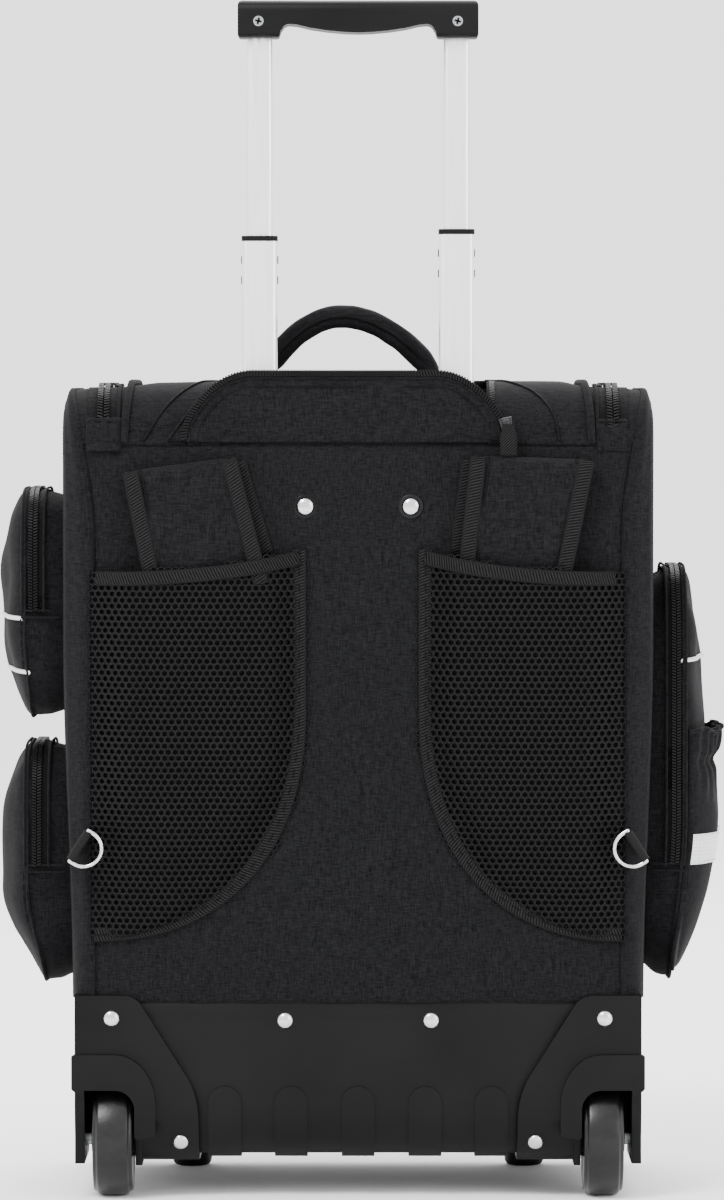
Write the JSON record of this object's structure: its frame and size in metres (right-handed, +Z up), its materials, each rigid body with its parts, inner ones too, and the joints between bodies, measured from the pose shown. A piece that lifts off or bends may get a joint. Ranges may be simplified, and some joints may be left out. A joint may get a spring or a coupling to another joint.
{
  "type": "rolling backpack",
  "caption": "Soft-sided rolling backpack on a moulded wheeled base, with a telescoping pull handle, stowed shoulder straps in mesh pockets, and zipped side and front pockets.",
  "frame": {"origin": "on the floor under the middle of the bag", "axes": "+Z up; -Y is the back of the bag, where its wheels, pull handle and shoulder straps are; +X is to the right of someone who looks at the back"},
  "size_m": [0.4306, 0.2626, 0.705],
  "materials": {
    "moulded_black": "satin, fine spark-eroded texture",
    "tread_rubber": "matt, moulded",
    "hub_nylon": "moulded",
    "axle_steel": "bright zinc plate",
    "rivet_nickel": "nickel plate",
    "board": "hardboard, sealed",
    "tube_outer": "satin anodised",
    "tube_aluminium": "satin anodised",
    "grip_plastic": "satin, fine texture",
    "button_plastic": "satin",
    "shell_fabric": "melange ripstop polyester, coated inside",
    "lining_fabric": "plain nylon",
    "handle_fabric": "polyester over foam, air mesh underneath",
    "spacer_mesh": "hexagonal polyester spacer mesh",
    "strap_fabric": "melange polyester over foam, twill binding",
    "webbing": "woven polypropylene",
    "zip_coil": "nylon coil on twill tape",
    "zip_pull": "woven loop",
    "zip_slider": "black enamel on zinc"
  },
  "bodies": {
    "bag": {"base_tray": "moulded_black", "wheel_housing_left": "moulded_black", "wheel_housing_right": "moulded_black", "axle_left": "axle_steel", "axle_right": "axle_steel", "rivets": "rivet_nickel", "front_feet": "moulded_black", "floor_board": "board", "lower_bracket": "moulded_black", "upper_bracket": "moulded_black", "outer_tube_left": "tube_outer", "outer_tube_right": "tube_outer", "outer_collars": "moulded_black", "back_panel": "shell_fabric", "handle_liner": "lining_fabric", "side_wall_left": "shell_fabric", "side_wall_right": "shell_fabric", "front_wall": "shell_fabric", "top_yoke": "shell_fabric", "side_pocket_upper_left": "shell_fabric", "side_pocket_lower_left": "shell_fabric", "side_pocket_right": "shell_fabric", "bottle_pouch": "shell_fabric", "front_pocket": "shell_fabric", "mesh_pocket_left": "spacer_mesh", "mesh_pocket_right": "spacer_mesh", "shoulder_strap_left": "strap_fabric", "shoulder_strap_right": "strap_fabric", "ring_loops": "webbing", "zips": "zip_coil"},
    "wheel_left": {"tyre_left": "tread_rubber", "hub_left": "hub_nylon"},
    "wheel_right": {"tyre_right": "tread_rubber", "hub_right": "hub_nylon"},
    "handle_mid": {"mid_tube_left": "tube_aluminium", "mid_tube_right": "tube_aluminium", "mid_collars": "moulded_black", "mid_guides": "moulded_black"},
    "handle_inner": {"inner_tube_left": "tube_aluminium", "inner_tube_right": "tube_aluminium", "inner_guides": "moulded_black", "grip_rear_shell": "grip_plastic", "grip_front_shell": "grip_plastic", "grip_screws": "axle_steel", "button_spring": "axle_steel"},
    "release": {"release_button": "button_plastic", "release_rods": "axle_steel"},
    "lid": {"top_lid": "shell_fabric"},
    "flap": {"handle_flap": "shell_fabric"},
    "flap_zip": {"flap_slider": "zip_slider"},
    "flap_zip_pull": {"flap_pull": "zip_pull"},
    "carry": {"carry_handle": "handle_fabric"},
    "ring_left": {"d_ring_left": "rivet_nickel"},
    "ring_right": {"d_ring_right": "rivet_nickel"},
    "lid_zip_left": {"lid_slider_left": "zip_slider"},
    "lid_zip_right": {"lid_slider_right": "zip_slider"},
    "upper_left_zip": {"pocket_slider_upper_left": "zip_slider"},
    "lower_left_zip": {"pocket_slider_lower_left": "zip_slider"},
    "right_zip": {"pocket_slider_right": "zip_slider"},
    "front_zip": {"front_pocket_slider": "zip_slider"}
  },
  "joints": [
    {"name": "wheel_left_spin", "type": "hinge", "parent": "bag", "child": "wheel_left", "pos_m": [-0.1445, -0.088, 0.0345], "axis": [1, 0, 0], "continuous": true},
    {"name": "wheel_right_spin", "type": "hinge", "parent": "bag", "child": "wheel_right", "pos_m": [0.1445, -0.088, 0.0345], "axis": [1, 0, 0], "continuous": true},
    {"name": "handle_mid_slide", "type": "slide", "parent": "bag", "child": "handle_mid", "axis": [0, 0, 1], "range_m": [-0.099, 0.15]},
    {"name": "handle_inner_slide", "type": "slide", "parent": "handle_mid", "child": "handle_inner", "axis": [0, 0, 1], "range_m": [-0.109, 0.112]},
    {"name": "release_button_press", "type": "slide", "parent": "handle_inner", "child": "release", "axis": [0, 0, -1], "range_m": [0, 0.004], "stiffness_N_per_m": 400, "springref_m": -0.003, "deforming": ["button_spring"]},
    {"name": "lid_hinge", "type": "hinge", "parent": "bag", "child": "lid", "pos_m": [0, -0.038, 0.482], "axis": [1, 0, 0], "range_deg": [0, 95]},
    {"name": "flap_fold", "type": "hinge", "parent": "bag", "child": "flap", "pos_m": [0, -0.1103, 0.446], "axis": [1, 0, 0], "range_deg": [0, 75]},
    {"name": "flap_slider_run", "type": "hinge", "parent": "flap", "child": "flap_zip", "pos_m": [0.046, -0.1126, 0.446], "axis": [0, -1, 0], "range_deg": [0, 78]},
    {"name": "flap_pull_swing", "type": "hinge", "parent": "flap_zip", "child": "flap_zip_pull", "pos_m": [0.0871, -0.1176, 0.4547], "axis": [0.9781, 0, 0.2079], "range_deg": [-100, 0]},
    {"name": "carry_handle_fold", "type": "hinge", "parent": "bag", "child": "carry", "pos_m": [0, -0.056, 0.4916], "axis": [1, 0, 0], "range_deg": [-84, 7]},
    {"name": "d_ring_left_swing", "type": "hinge", "parent": "bag", "child": "ring_left", "pos_m": [-0.163, -0.128, 0.21], "axis": [-0.5299, 0, -0.848], "range_deg": [0, 100]},
    {"name": "d_ring_right_swing", "type": "hinge", "parent": "bag", "child": "ring_right", "pos_m": [0.163, -0.128, 0.21], "axis": [-0.5299, 0, 0.848], "range_deg": [0, 100]},
    {"name": "lid_slider_left_run", "type": "slide", "parent": "bag", "child": "lid_zip_left", "axis": [-1, 0, 0], "range_m": [0, 0.125]},
    {"name": "lid_slider_right_run", "type": "slide", "parent": "bag", "child": "lid_zip_right", "axis": [1, 0, 0], "range_m": [0, 0.125]},
    {"name": "upper_left_slider_run", "type": "slide", "parent": "bag", "child": "upper_left_zip", "axis": [0, 0, 1], "range_m": [0, 0.034]},
    {"name": "lower_left_slider_run", "type": "slide", "parent": "bag", "child": "lower_left_zip", "axis": [0, 0, 1], "range_m": [0, 0.038]},
    {"name": "right_slider_run", "type": "slide", "parent": "bag", "child": "right_zip", "axis": [0, 0, 1], "range_m": [0, 0.094]},
    {"name": "front_slider_run", "type": "slide", "parent": "bag", "child": "front_zip", "axis": [-1, 0, 0], "range_m": [0, 0.17]}
  ]
}
